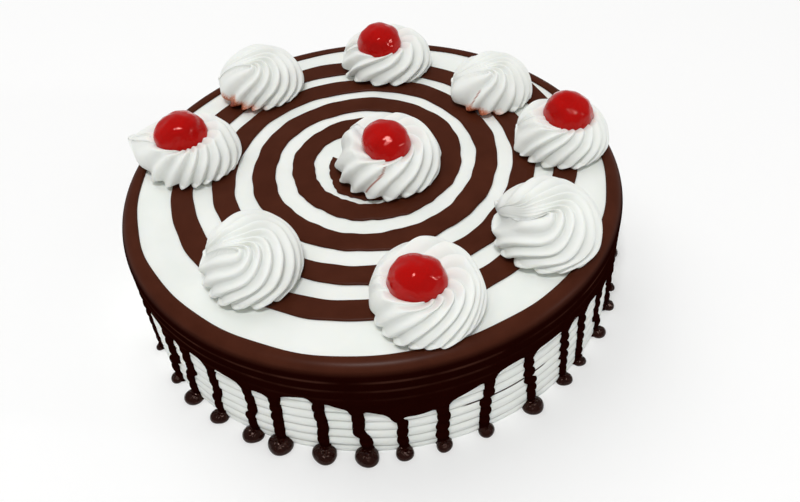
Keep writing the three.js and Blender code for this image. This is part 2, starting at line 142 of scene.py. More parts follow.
def make_piece(name, parts, nodes):
    """Joins surfaces into one closed mesh whose faces point outwards, in place of CAD nodes."""
    starts = np.cumsum([0] + [len(points) for points, _, _ in parts[:-1]])
    points = np.concatenate([points for points, _, _ in parts]) * MM
    squares = np.concatenate([squares + start for (_, squares, _), start in zip(parts, starts)])
    mesh = bpy.data.meshes.new(name)
    mesh.from_pydata(points, [], squares)
    for key in parts[0][2]:
        layer = mesh.attributes.new(key, "FLOAT", "POINT")
        values = np.concatenate([paint[key] for _, _, paint in parts])
        layer.data.foreach_set("value", values)
    welded = bmesh.new()
    welded.from_mesh(mesh)
    bmesh.ops.remove_doubles(welded, verts=welded.verts, dist=WELD_DISTANCE)
    bmesh.ops.recalc_face_normals(welded, faces=welded.faces)
    open_edges = sum(1 for edge in welded.edges if not edge.is_manifold)
    welded.to_mesh(mesh)
    welded.free()
    mesh.shade_smooth()
    piece = bpy.data.objects.new(name, mesh)
    bpy.context.scene.collection.objects.link(piece)
    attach(piece, "root")
    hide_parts(*nodes)
    mesh.calc_loop_triangles()
    print(f"{name}: {len(mesh.loop_triangles)} triangles, {open_edges} open edges")
    return piece


# %% [markdown]
# ## Unevenness
# Nothing on a hand-made cake is quite even, and yet the lesson has to give the same cake every
# time. Random numbers with a fixed seed would do that, but adding one more piece would change all
# that come after it. So the unevenness comes from formulas: a scrambled sine for single values,
# and a sum of slow waves, each at its own pace and start, for what has to vary smoothly.

# %% Unevenness helpers
FULL_TURN = 6.28


def uneven(seed):
    """A number from -1 to 1 that jumps about from one seed to the next."""
    wave = math.sin(seed * 127.1 + 31.7) * 43758.5453
    return 2 * (wave - math.floor(wave)) - 1


def ripple(turn, waves, seed):
    """Smooth unevenness round a circle, about -1 to 1: a sum of sines whose whole numbers of
    waves fit the circle. turn is in radians, waves lists how many fit in one turn."""
    total = sum(np.sin(count * turn + FULL_TURN * uneven(seed + 3.7 * count)) for count in waves)
    return total / math.sqrt(len(waves))


def drift(x, y, z, size, seed):
    """Smooth unevenness in space, about -1 to 1: three skewed sine waves of about that size,
    which bend each other."""
    a, b, c = (FULL_TURN * uneven(seed + k) for k in range(3))
    x, y, z = (part * FULL_TURN / size for part in (x, y, z))
    first = np.sin(0.9 * x + 0.4 * y - 0.3 * z + a + 1.1 * np.sin(0.5 * y + 0.7 * z + b))
    second = np.sin(-0.4 * x + 0.8 * y + 0.5 * z + b + 1.3 * np.sin(0.6 * x - 0.4 * z + c))
    third = np.sin(0.2 * x - 0.5 * y + 0.9 * z + c + 1.2 * np.sin(0.5 * x + 0.5 * y + a))
    return (first + second + third) / 2


def smooth_step(value, low, high):
    """0 below low, 1 above high, and an S-shaped run between them."""
    t = np.clip((value - low) / (high - low), 0, 1)
    return t * t * (3 - 2 * t)


def bump(value, centre, half_width):
    """A bell curve that is 1 at the centre and a third at half_width from it."""
    return np.exp(-((value - centre) / half_width) ** 2)


def angle_between(degrees, other):
    """How far one direction is from another, from -180 to 180 degrees."""
    return (degrees - other + 540) % 360 - 180


# %% [markdown]
# ## The cake under its cream
# The cream coat is a turned shape: half an outline, swept round the axis. A cake comb with round
# teeth was drawn along the side, so the outline there is a row of fat rounded ribs with a sharp
# groove between each two. A Screw modifier could turn such an outline, but it would make all
# directions alike. On a grid the groove's depth can change on its way round, because the comb was
# held by hand, and the flat top can keep faint waves from the spatula.

# %% Cream coat
CAKE_RADIUS = 113.4
CAKE_HEIGHT = 55.5
TOP_RADIUS = 106.5
SHOULDER_DROP = 7.0
FOOT_RISE = 2.0
FOOT_TUCK = 0.5
RIDGE_PITCH = 5.68
RIDGE_DEPTH = 1.15
RIDGE_POWER = 0.52  # Below 1 the ribs get fat and the grooves sharp
FIRST_GROOVE = 3.7
COMB_END = 48.0
COMB_FADE = 4.0
SPATULA_WAVE = 0.1
CREAM_COLUMNS = 480
BASE_ROWS, SIDE_ROWS, SHOULDER_ROWS, TOP_ROWS = 4, 116, 10, 22


def rib(height):
    """The comb's ribs: 0 in a groove, 1 on a crest. A sine with its humps made fat."""
    phase = (height - FIRST_GROOVE) / RIDGE_PITCH
    return np.abs(np.sin(np.pi * phase)) ** RIDGE_POWER


def groove_share(height, turn):
    """1 in the middle of a groove, 0 on a crest and above and below the combed part."""
    combed = (smooth_step(height, 0.0, FOOT_RISE)
              * (1 - smooth_step(height, COMB_END - COMB_FADE, COMB_END)))
    return combed * (1 - rib(height + 0.35 * ripple(turn, (3, 7, 16), 4.0)))


def cream_side(height, turn):
    """Radius of the cream at a height on the side and a turn in radians."""
    depth = RIDGE_DEPTH * (1 + 0.3 * ripple(turn, (5, 9, 14), 2.0))
    tuck = FOOT_TUCK * (1 - smooth_step(height, 0.0, FOOT_RISE))
    return CAKE_RADIUS - depth * groove_share(height, turn) - tuck


def cream_coat():
    """Rows run from the middle of the base, out, up the side, over the shoulder and in to the
    middle of the top. Columns go round."""
    turn = all_round(CREAM_COLUMNS)
    base = np.linspace(0, CAKE_RADIUS - FOOT_TUCK, BASE_ROWS)[:, None]
    height = np.linspace(0, CAKE_HEIGHT - SHOULDER_DROP, SIDE_ROWS)[1:, None]
    bend = np.linspace(0, np.pi / 2, SHOULDER_ROWS)[1:, None]
    inward = np.linspace(TOP_RADIUS, 0, TOP_ROWS)[1:, None]
    radius = join_rows(turn, base, cream_side(height, turn),
                       TOP_RADIUS + (CAKE_RADIUS - TOP_RADIUS) * np.cos(bend), inward)
    level = join_rows(turn, 0 * base, height,
                      CAKE_HEIGHT - SHOULDER_DROP + SHOULDER_DROP * np.sin(bend),
                      CAKE_HEIGHT + 0 * inward)
    waves = drift(radius * np.cos(turn), radius * np.sin(turn), 0 * radius, 60, 5)
    level = level + SPATULA_WAVE * waves * (level > CAKE_HEIGHT - 1)
    return surface(polar(radius, turn, level), close_columns=True,
                   groove=groove_share(level, turn))


cream_piece = make_piece("cream_coat", [cream_coat()], ["cream_cake"])

# %% [markdown]
# ## The chocolate collar
# Thin glaze was run along the cake's edge. It covers the shoulder as one smooth rounded skin and
# stops on the side in a soft bead, which hangs lower wherever a drip started. A closed curve with
# a bevel would give a ring of one width, and this one has to hang differently at every drip. So
# the skin is a grid again: one way round the cake, and the other way along a small closed outline
# that is worked out anew in each direction.

# %% Collar
GAP = 0.3  # Between the cream and the solid of what lies on it
GLAZE_RADIUS = 115.0
GLAZE_INNER_EDGE = 107.0
GLAZE_THICKNESS = 1.1
GLAZE_SHOULDER_DROP = 7.2
GLAZE_EDGE = 37.5
LIP_WIDTH = 1.4
LIP_HEIGHT = 1.2
RIBS_SHOW = 0.42
SIDE_LEAN = 0.25
BEAD_RADIUS = 1.2
# Radius and height of the places inside the cream through which the outline goes back up
INSIDE_OUTLINE = np.array([(112.0, 47.0), (111.0, 52.0), (108.5, 54.6)])
COLLAR_COLUMNS = 1080
# Where the lower edge hangs lower: the direction in degrees, how deep, and how far to each side
EDGE_DIPS = [(-84, 13, 13), (-99, 2.2, 4), (-116, 4, 8), (-22, 7, 16), (32, 5, 12),
             (68, 9, 15), (112, 4, 10), (146, 8, 14), (178, 3, 9)]
WEB_DEPTH = 4.5
WEB_HALF_ANGLE = 1.25
# For each drip: the angle of its foot, the half width of its drop, how many degrees its upper part
# stands beside the foot, and the height of that step
FIRST_DRIPS = [
    (-156, 2.2, -0.6, 10), (-145, 3.2, 2.4, 15), (-137.7, 4.4, 1.6, 18), (-129.3, 4.1, 0.9, 15),
    (-120, 4.6, 0.9, 14), (-113.3, 5.4, 0.5, 20), (-103.5, 5.3, 0.2, 14), (-94.6, 5.3, -1.1, 13),
    (-86.8, 4, -1.1, 21.5), (-78.4, 3.6, 0.2, 15), (-68.9, 3.5, 1, 22), (-57, 4.6, -1.2, 18),
    (-46.9, 3.6, -0.6, 16), (-40.6, 2.9, -0.5, 18), (-30.8, 3.6, -2, 12), (-22, 3.3, -1.2, 18),
    (-16, 2.6, 0.3, 12)]
DRIP_STEP = 10.8
LAST_DRIP = 185
# For the later drips: a usual value, and how much they differ
ANGLE_RANGE = 1.6
LATER_DROP, DROP_VARIETY = 4.2, 0.25
LEAN_RANGE = 1.3
LATER_STEP_AT, STEP_AT_RANGE = 16, 6


def all_drips():
    """The front drips as they ran, and then one every DRIP_STEP round the back."""
    later = np.arange(FIRST_DRIPS[-1][0] + DRIP_STEP, LAST_DRIP, DRIP_STEP)
    return FIRST_DRIPS + [
        (angle + ANGLE_RANGE * uneven(angle), LATER_DROP * (1 + DROP_VARIETY * uneven(angle + 5)),
         LEAN_RANGE * uneven(angle + 50), LATER_STEP_AT + STEP_AT_RANGE * uneven(angle + 20))
        for angle in later.tolist()]


DRIPS = all_drips()
print(len(DRIPS), "drips")


def edge_height(degrees):
    """Height of the collar's lower edge before the drips pull at it: level, with soft dips."""
    dips = sum(depth * bump(angle_between(degrees, at), 0, half) for at, depth, half in EDGE_DIPS)
    return GLAZE_EDGE - dips


def webbed_edge(degrees):
    """The lower edge as it hangs: between two drips it forms an arch with rounded corners."""
    edge = edge_height(degrees) + 0.5 * ripple(np.radians(degrees), (11, 17, 26), 9.0)
    for foot, _, lean, _ in DRIPS:
        edge = edge - WEB_DEPTH * bump(angle_between(degrees, foot + lean), 0, WEB_HALF_ANGLE)
    return edge


def collar():
    """Rows follow the outline from the inner edge on the top over the shoulder and down the side,
    round the bead and back up inside the cream. Columns go round."""
    turn = all_round(COLLAR_COLUMNS)
    edge = webbed_edge(np.degrees(turn))
    top = CAKE_HEIGHT + GAP + GLAZE_THICKNESS
    inner = GLAZE_INNER_EDGE + 0.3 * ripple(turn, (4, 7, 13, 21), 1.0)
    # Inner lip: a quarter round from the cream up to the top of the glaze
    lip_bend = np.linspace(0, np.pi / 2, 5)[:, None]
    lip_radius = inner + LIP_WIDTH * (1 - np.cos(lip_bend))
    lip_height = top - LIP_HEIGHT + LIP_HEIGHT * np.sin(lip_bend)
    # Shoulder: a quarter of an oval from the top to the side
    bend = np.linspace(0, np.pi / 2, 19)[1:, None]
    lip_end = GLAZE_INNER_EDGE + LIP_WIDTH
    shoulder_radius = lip_end + (GLAZE_RADIUS - lip_end) * np.sin(bend)
    shoulder_height = top - GLAZE_SHOULDER_DROP * (1 - np.cos(bend))
    # Side: the ribs under the glaze still show a little
    share = np.linspace(0, 1, 22)[1:, None]
    side_height = (top - GLAZE_SHOULDER_DROP) * (1 - share) + (edge + BEAD_RADIUS) * share
    show = RIBS_SHOW * (1 + 0.6 * ripple(turn, (6, 11, 19), 7.0)) * smooth_step(share, 0.0, 0.25)
    side_radius = GLAZE_RADIUS - show * (1 - rib(side_height)) - SIDE_LEAN * share
    # Bead: half round under the edge
    round_off = np.linspace(0, np.pi, 8)[1:, None]
    bead_radius = GLAZE_RADIUS - (SIDE_LEAN + BEAD_RADIUS) + BEAD_RADIUS * np.cos(round_off)
    bead_height = edge + BEAD_RADIUS - BEAD_RADIUS * np.sin(round_off)
    radius = join_rows(turn, lip_radius, shoulder_radius, side_radius, bead_radius,
                       INSIDE_OUTLINE[:, :1])
    height = join_rows(turn, lip_height, shoulder_height, side_height, bead_height,
                       INSIDE_OUTLINE[:, 1:])
    return surface(polar(radius, turn, height), close_rows=True, close_columns=True)


collar_piece = make_piece("chocolate_collar", [collar()], ["chocolate_rim"])

# %% [markdown]
# ## Drips and drops
# Each drip is a small half-round cord down the side. It followed the ribs, so it swells over each
# crest and narrows in each groove like a string of beads, steps a little to one side on its way,
# and ends in a drop that has spread on the board. A bevelled curve would be a round tube, and most
# of it would be lost in the cream. Here a drip is a row of half-oval sections down the side, each
# with its own width, depth and place, and its drop is a dome with a grainy skin.

# %% Drips
DRIP_STATIONS = 110
DRIP_COLUMNS = 17
DRIP_HALF_WIDTH = 2.5
DRIP_DEPTH = 2.0
DRIP_BURIED = 1.3  # How deep in the cream its back lies
DRIP_START = 7.0  # It begins this far above the collar's edge, and merges with it
MERGED_DEPTH = 1.6
BEAD_SWELL = 0.38
ROUND_BEADS = (-88.0, -45.0)  # Between these directions the beads change from square to round
DROP_RINGS = 26
DROP_COLUMNS = 72
DROP_SLOPE = 100.0  # The dome goes on past upright, so its edge is tucked in
DROP_FLATNESS = 0.62
DROP_GRAIN = 0.13


def beads(height, index, roundness):
    """How a drip swells: one bead on each rib, with a short pinch in the groove."""
    phase = (height - FIRST_GROOVE + 0.5 * uneven(index + 40)) / RIDGE_PITCH
    return (np.abs(np.sin(np.pi * phase)) ** (0.5 + 0.45 * roundness)
            * (1 + (0.15 + 0.15 * roundness) * np.sin(0.9 * height + index)) - 0.7)


def drip(index, foot, drop_size, lean, step_at):
    """Rows go down the side, columns round a half-oval section whose back is in the cream."""
    plump = 1 + 0.12 * uneven(index)
    edge = float(edge_height(np.array(foot)))
    height = np.linspace(edge + DRIP_START, 0.3, DRIP_STATIONS)[:, None]
    step = smooth_step(height, step_at - 2.0, step_at + 2.0)
    wander = 0.3 * np.sin(height / 3.1 + FULL_TURN * uneven(index + 30))
    middle = np.radians(foot + lean * step) + wander / CAKE_RADIUS
    roundness = float(smooth_step(np.array(foot), *ROUND_BEADS))
    bead = beads(height, index, roundness)
    # It is wider where it leaves the collar, and again where it runs into its drop
    cap = 0.35 * smooth_step(height, edge - 4, edge + 3)
    flare = 0.1 * max(drop_size - 1.5, 0) * (1 - smooth_step(height, 0.0, 0.9 * drop_size))
    width = (DRIP_HALF_WIDTH * plump * (1 + (BEAD_SWELL + 0.2 * roundness) * bead)
             * (1 + cap + flare))
    merged = smooth_step(height, edge - 1, edge + DRIP_START)
    depth = (DRIP_DEPTH + 0.7 * bead) * plump * (1 - merged) + MERGED_DEPTH * merged
    around = np.linspace(-1, 1, DRIP_COLUMNS)[None, :] * np.pi / 2
    radius = CAKE_RADIUS - DRIP_BURIED + (depth + 0.8) * np.abs(np.cos(around)) ** 0.6
    turn = middle + width * np.sin(around) / CAKE_RADIUS
    return surface(capped(polar(radius, turn, height)), close_columns=True)


def drop(index, foot, drop_size):
    """A low dome on the board: rows from its top to its edge and back under it to the middle."""
    slope = np.concatenate([np.linspace(0, DROP_SLOPE, DROP_RINGS), 2 * [DROP_SLOPE]])[:, None]
    share = np.concatenate([np.ones(DROP_RINGS), [0.6, 0.0]])[:, None]
    around = all_round(DROP_COLUMNS)
    lumps = 1 + 0.05 * np.sin(2 * around + index) + 0.03 * np.sin(3 * around - index)
    out = np.sin(np.radians(slope)) ** 0.85 * share * lumps
    forward = drop_size * out * np.cos(around)
    sideways = drop_size * out * np.sin(around)
    grain = DROP_GRAIN * drift(forward, sideways, 0 * out, 1.4, index)
    low = math.cos(math.radians(DROP_SLOPE))
    rise = np.maximum(np.cos(np.radians(slope)), low) - low
    height = np.where(share < 1, 0.0, (DROP_FLATNESS * drop_size + 0.3 + grain) * rise)
    radial = CAKE_RADIUS + 0.4 * drop_size + forward
    turn = math.radians(foot)
    points = np.stack([radial * math.cos(turn) - sideways * math.sin(turn),
                       radial * math.sin(turn) + sideways * math.cos(turn), height], axis=-1)
    return surface(points, close_columns=True)


drip_parts = [drip(index, *row) for index, row in enumerate(DRIPS)]
drop_parts = [drop(index, foot, size) for index, (foot, size, _, _) in enumerate(DRIPS)]
drips_piece = make_piece("chocolate_drips", drip_parts, ["chocolate_rim"])
drops_piece = make_piece("chocolate_drops", drop_parts, ["chocolate_rim"])

# %% [markdown]
# ## The chocolate spiral
# The glaze was poured while the cake turned slowly, from the middle out. A plain spiral grows by
# one pitch in each turn. This one wandered off its centre and became a little oval, its first turn
# runs into the second, and its end runs into the collar. Its section has a flat middle and fat
# round edges, as a liquid gets when it sets. A curve with a profile would do, if its two edges
# didn't stray each in its own way, which is easy in a grid of stations and sections.

# %% Spiral band
SPIRAL_START = -220
SPIRAL_END = 1496
SPIRAL_RADIUS = 21.3
SPIRAL_PITCH = 18.2
SPIRAL_STATIONS = 1300
BAND_COLUMNS = 40
BAND_HALF_WIDTH = 5.4
BAND_MIDDLE = 0.35  # Height of the band's widest place above the cream
BAND_UPPER, BAND_LOWER = 0.9, 0.7
BAND_LIP = 0.16
# An edge strays by three waves: how far each goes, and for the outer and the inner edge how many
# fit in a turn and where they start
STRAY = (0.3, 0.22, 0.12)
OUTER_WAVES = ((7.3, 1.0), (17.1, 0.0), (31.7, 0.0))
INNER_WAVES = ((6.1, 2.0), (14.3, 4.0), (29.3, 0.0))


def spiral_radius(degrees):
    """Middle line of the band, in mm from the cake's axis."""
    turns, angle = degrees / 360, np.radians(degrees)
    plain = SPIRAL_RADIUS + SPIRAL_PITCH * turns
    wander = (-0.9 - 0.75 * turns) * np.cos(angle) + (11 - 1.06 * turns) * np.sin(angle)
    oval = -1.5 * np.cos(2 * angle)
    tight_start = 5.7 * smooth_step(degrees, -205, -135) * (1 - smooth_step(degrees, 0, 100))
    wide_end = 4.2 * smooth_step(degrees, 1400, 1500)
    return plain + wander + oval + tight_start + wide_end


def straying(angle, waves):
    """How far an edge of the band strays from its even line, in mm."""
    return sum(far * np.sin(count * angle + start) for far, (count, start) in zip(STRAY, waves))


def spiral_band():
    """Rows run along the band, columns round its section: a flat oval whose edges stand up."""
    degrees = np.linspace(SPIRAL_START, SPIRAL_END, SPIRAL_STATIONS)[:, None]
    around = all_round(BAND_COLUMNS)
    across = np.sign(np.cos(around)) * np.abs(np.cos(around)) ** 0.7
    angle = np.radians(degrees)
    stray = np.where(across > 0, straying(angle, OUTER_WAVES), straying(angle, INNER_WAVES))
    radius = spiral_radius(degrees) + (BAND_HALF_WIDTH + stray) * across
    lift = np.sin(around)
    flat = np.sign(lift) * np.abs(lift) ** 0.6
    lip = BAND_LIP * bump(np.abs(across), 0.86, 0.12) * (lift > 0)
    under_next = 0.1 * (1 - smooth_step(degrees, 0, 90))
    height = (CAKE_HEIGHT + BAND_MIDDLE + np.where(lift > 0, BAND_UPPER * flat, BAND_LOWER * flat)
              + lip - under_next)
    return surface(capped(polar(radius, angle, height)), close_columns=True)


spiral_piece = make_piece("chocolate_swirl", [spiral_band()], ["chocolate_spiral"])

# %% [markdown]
# ## Piped rosettes: hooks on a flat disc
# A star nozzle was set down at the front left, swept round the right and the back, and pulled off
# to the left. Each tooth of the nozzle left a ridge in the shape of a hook. A star could be swept
# along a curve, but its ridges would run side by side like the strands of a rope. On the real
# swirl they fan out over a dome and meet again in one tip. So the hooks are first laid out side by
# side on a flat disc of radius 1, where complex numbers are handy as places. Five guide hooks give
# the family: the first is a fold in the nest of the swirl, the last follows the disc's rim, and
# all end in one place, the tail. The settings bend the family:
#
# - starts: where the valleys begin at the foot, in degrees round from the right, the tail first
# - twist: how many degrees a hook turns as it climbs from the foot
# - tight: above 1 the ridges crowd round the nest
# - fold: how wide the first ridge is
# - bow: how far a hook bows out on its way round the nest
# - dip: how low the inner hooks pass on their way to the tail
# - shift: where the nest lies off its usual place

# %% Hooks
NEST = -0.03 - 0.2j
# For each guide hook: its places east of the nest, north of it, where it joins the others, and
# on the way to the tail
GUIDE_HOOKS = np.array([
    [-0.06 - 0.22j, -0.10 - 0.20j, -0.16 - 0.18j, -0.40 - 0.10j],
    [0.15 - 0.27j, 0.08 - 0.17j, -0.02 - 0.18j, -0.30 - 0.14j],
    [0.52 - 0.25j, 0.29 + 0.05j, 0.04 - 0.07j, -0.26 - 0.13j],
    [0.72 + 0.30j, 0.33 + 0.55j, -0.03 + 0.20j, -0.36 + 0.01j],
    [-0.20 + 0.98j, -0.55 + 0.83j, -0.80 + 0.60j, -0.94 + 0.34j]])
RIM_TWIST = 7  # Degrees that the outermost hooks turn as they climb
INNER_CLIMB = 0.72  # How far out the inner hooks are when they have climbed the side


def flowing(knots, position):
    """Places on a smooth curve that flows past the knots (a B-spline). position counts knots."""
    ends = np.concatenate([2 * knots[:1] - knots[1:2], knots, 2 * knots[-1:] - knots[-2:-1]])
    stretch = np.minimum(position.astype(int), len(knots) - 2)
    t = (position - stretch)[:, None]
    weights = [(1 - t) ** 3, 3 * t ** 3 - 6 * t ** 2 + 4, -3 * t ** 3 + 3 * t ** 2 + 3 * t + 1,
               t ** 3]
    return sum(weight * ends[stretch + i] for i, weight in enumerate(weights)) / 6


def hooks(number, along, starts, twist, tight=1.0, fold=1.0, bow=1.12, dip=0.0, shift=0j):
    """Places on the flat disc, one row for each hook. number counts ridges from the nest to the
    rim, along runs from 0 at the foot to 1 at the tail."""
    count = len(starts) - 1
    order = np.interp(number, [0, 1, count], [0, fold / (count - 1 + fold), 1])
    guide = flowing(GUIDE_HOOKS, (len(GUIDE_HOOKS) - 1) * order ** tight)
    guide = guide + shift * (1 - np.minimum(np.abs(guide), 1) ** 2)
    guide[:, 2:] -= 1j * dip * ((1 - order) ** 4)[:, None] * np.array([0.4, 1.0])
    nest = NEST + shift
    rim_share = order ** 3
    start = np.interp(number, np.arange(count + 1), starts)
    climb = start + twist * (1 - rim_share) + RIM_TWIST * rim_share
    foot = np.exp(1j * np.radians(start))
    up = (INNER_CLIMB + (1 - INNER_CLIMB) * rim_share) * np.exp(1j * np.radians(climb))
    # Between the climb and the eastern place the hook goes round the nest in an even bend
    bend_start, bend_end = up - nest, guide[:, 0] - nest
    turn = np.angle(bend_end / bend_start)
    turn = np.where(turn < -0.5 * np.pi, turn + 2 * np.pi, np.maximum(turn, 0))
    middle = nest + (bow * np.abs(bend_start) ** 0.4 * np.abs(bend_end) ** 0.6
                     * np.exp(1j * (np.angle(bend_start) + turn / 2)))
    tail = np.full(len(number), np.exp(1j * math.radians(starts[0])))
    knots = np.array([foot, up, middle, *guide.T, tail])
    curve = flowing(knots, along * (len(knots) - 1)).T
    # The outermost hook follows the disc's rim exactly, and its neighbours nearly
    return curve / (1 + (np.abs(curve[-1]) - 1) * (order ** 4)[:, None])


# %% [markdown]
# ## From the disc to a swirl
# The disc is wrapped over a dome like a cap, so that its rim comes to lie below the widest place.
# Across the hooks the surface goes up and down in rounded ridges with sharp valleys. Then the
# swirl gets what happened to it: the hollow where the nozzle left, a few blobs, the pulled-up
# tail and the bowl that the cherry pressed. These settings say how much:
#
# - at, size: the swirl's place on the cake, and its two half widths and its height
# - cherry: the cherry's place from there, and its radius
# - tail: how far the tail is pulled out and up, and how much of the swirl goes with it
# - hollow: how deep the nozzle's hollow is
# - calm: how far round the tail the ridges are smoothed away
# - blobs: places on the disc where cream stands out, how thick and how wide
# - merge: how many ridges next to the innermost fold draw close to it

# %% Swirl helpers
COLUMNS_PER_RIDGE = 12
STEPS_ALONG = 132
RIDGE_HEIGHT = 1.15
FULL_SPACING = 2.8  # In mm; where the hooks lie closer together the ridges get lower
LOBE_SHARE = 0.07  # How much of a hook is in the fat lobe at its foot
DOME_ANGLE = math.radians(115)
BELT = 0.17  # Height of the widest place, as a share of the swirl's height
CORE = 0.3  # Height of the point from which the ridges stand out, as such a share
FOOT_SHARE = 0.86  # Width of the foot, as a share of the rim's
SUNK = 0.9  # How deep the foot is in the cream
CHERRY_CENTRE = 15.7  # Height of a cherry's middle above the cake's top
BOWL_FLOOR = 3.5  # No bowl is pressed deeper than down to this height


def dome(place, size):
    """Wraps the disc over a dome. Heights are counted from the core."""
    width, depth, tall = size
    reach = np.abs(place)
    slope = reach * DOME_ANGLE
    shrink = np.where(reach < 1e-6, DOME_ANGLE, np.sin(slope) / np.maximum(reach, 1e-6))
    lift = np.where(np.cos(slope) > 0, 1 - BELT, BELT)
    return (place.real * shrink * width, place.imag * shrink * depth,
            (BELT - CORE + lift * np.cos(slope)) * tall)


def humps(number):
    """0 in a valley and 1 on a crest, a little steeper on the outer side."""
    phase = (number - np.floor(number))[:, None]
    return 0.5 - 0.5 * np.cos(2 * np.pi * phase ** 1.1)


def nozzle_hollow(place):
    """The hollow where the nozzle left: it lies above the first fold and opens to the left."""
    above = place.imag + 0.25 - 1.9 * np.maximum(0, -0.38 - place.real) ** 2
    return (smooth_step(above, -0.07, 0.13) * (1 - smooth_step(above, 0.13, 0.6))
            * (1 - smooth_step(place.real, -0.45, -0.05)))


def press_cherry(points, ridge, aside, away, reach):
    """The cherry has pressed a hollow: no point stays higher than a bowl round the cherry."""
    far_out = np.hypot(points[..., 0] - aside, points[..., 1] - away) - reach
    bowl = (CHERRY_CENTRE - GAP - 0.03 * reach + np.where(far_out > 0, 0.3, 1.0) * far_out
            + 0.45 * ridge)
    over = points[..., 2] - np.maximum(bowl, BOWL_FLOOR)
    points[..., 2] -= (over + np.sqrt(over ** 2 + 0.5)) / 2


def join_folds(points, number, along, merge):
    """All hooks end in one tip, where the first one also starts. Both halves of the innermost
    hook are one fold, and the hooks next to it draw close to it."""
    points[:, -1] = points[0, 0] = points[-1, -1]
    ends = np.abs(np.sin(np.pi * along)) ** 0.3
    shared = 0.45 * np.outer(1 - smooth_step(number, 0.0, merge), ends)
    shared[0] = 0.5
    return points + shared[..., None] * (points[:, ::-1] - points)


def underside(points):
    """Rings from the swirl's rim in to the middle of its foot, which is sunk in the cream."""
    rim = np.concatenate([points[:, 0], points[-1, 1:-1]])
    foot = rim[:, :2] * FOOT_SHARE
    return np.stack([rim, np.column_stack([(rim[:, :2] + foot) / 2, rim[:, 2] * 0.35]),
                     np.column_stack([foot, -SUNK + 0 * rim[:, 2]]),
                     np.zeros_like(rim) + [0, 0, -SUNK]])


# %% [markdown]
# ## Stains and painted shade on a swirl
# Two swirls have soaked up syrup and chocolate at the foot, and two have a thin reddish crack. They
# could be painted by hand, but here it is easy to say where they are. So both are numbers from 0
# to 1 that are worked out and stored with the points, and the finish of the cream reads them
# later. A third such number says where shade is painted: in the valleys between the ridges and in
# the hollow where the nozzle left.

# %% Swirl and its stains
CRACK_HALF_WIDTH = 0.32


def soaked_foot(points, stain):
    """Where the foot is soaked: low down, and on one side only. A stain is the middle direction
    and the half width in degrees, and the height."""
    if stain is None:
        return 0.0
    side, half_width, high = stain
    around = np.degrees(np.arctan2(points[..., 1], points[..., 0]))
    ragged = 0.07 * high * (np.sin(around / 9) + np.sin(around / 3.7 + 1))
    low = 1 - smooth_step(points[..., 2] + ragged, 0, high)
    return low * bump(angle_between(around, side), 0, half_width)


def near_line(points, line, half_width):
    """1 on a line through the given places, 0 farther off than twice its half width."""
    if line is None:
        return 0.0
    line = np.array(line, float)
    distance = np.full(points.shape[:-1], np.inf)
    for start, step in zip(line[:-1], np.diff(line, axis=0)):
        share = np.clip(((points - start) @ step) / (step @ step), 0, 1)[..., None]
        distance = np.minimum(distance, np.linalg.norm(points - start - share * step, axis=-1))
    return 1 - smooth_step(distance, 0.5 * half_width, 2 * half_width)


def rosette(seed, at, size, starts, cherry=None, tail=(1.0, 7.0, 0.3), hollow=1.3, calm=0.55,
            soaked=None, crack=None, blobs=(), merge=0.01, **bends):
    """The swirl's upper side, and the underside that closes it."""
    ridges = len(starts) - 1
    number = np.linspace(0, ridges, ridges * COLUMNS_PER_RIDGE + 1)
    along = np.linspace(0, 1, STEPS_ALONG)
    place = hooks(number, along, starts, **bends)
    x, y, z = dome(place, size)
    # The ridges are uneven, and lower where the hooks lie close together and round the tail
    hump = humps(number)
    spacing = np.abs(np.gradient(place, number, axis=0)) * (size[0] + size[1])
    apart = 1 - np.exp(-((spacing / FULL_SPACING) ** 4))
    from_tail = np.abs(place - place[-1, -1])
    fade = smooth_step(from_tail, 0.0, calm)
    own = 1 + 0.15 * np.sin(2.4 * np.floor(number)[:, None] + seed + 5 * along[None, :])
    lobes = np.exp(-((along / LOBE_SHARE) ** 2))[None, :]
    ridge = RIDGE_HEIGHT * own * (2 * hump - 1) * apart
    ridge = ridge * (1 + 0.6 * lobes) * fade + 0.5 * lobes * hump
    # A deep hollow has wiped the ridges in it nearly flat
    dent = nozzle_hollow(place)
    ridge = ridge * (1 - 0.8 * dent * smooth_step(hollow, 2, 4))
    dent = hollow * dent
    for blob_at, thick, wide in blobs:
        dent = dent - thick * bump(np.abs(place - blob_at), 0, wide)
    length = np.sqrt(x * x + y * y + z * z)
    grow = 1 + (ridge - dent + 0.25 * drift(x, y, z, 17, seed)) / length
    pulled_out, pulled_up, pull_reach = tail
    pull = np.exp(-((from_tail / pull_reach) ** 2))
    outward = place[-1, -1] * pulled_out
    points = np.stack([x * grow + outward.real * pull, y * grow + outward.imag * pull,
                       z * grow + CORE * size[2] + pulled_up * pull], axis=-1)
    if cherry:
        press_cherry(points, ridge, *cherry)
    points = join_folds(points, number, along, merge)
    under = underside(points)
    home = np.array([*at, CAKE_HEIGHT + GAP])
    # Painted shade: darker in the valleys between the ridges, and in the nozzle's hollow
    valley = np.maximum(0.6 * (1 - hump) * fade * apart, 0.25 * dent)
    return [surface(points + home, valley=valley, soaked=soaked_foot(points, soaked),
                    crack=near_line(points, crack, CRACK_HALF_WIDTH)),
            surface(under + home, close_columns=True, valley=0.0,
                    soaked=soaked_foot(under, soaked), crack=0.0)]


# %% [markdown]
# ## Nine rosettes
# Eight rosettes stand in a ring and one in the middle. No two were piped alike, so each has its
# own settings. Those with a cherry have their ridges pressed together round it.

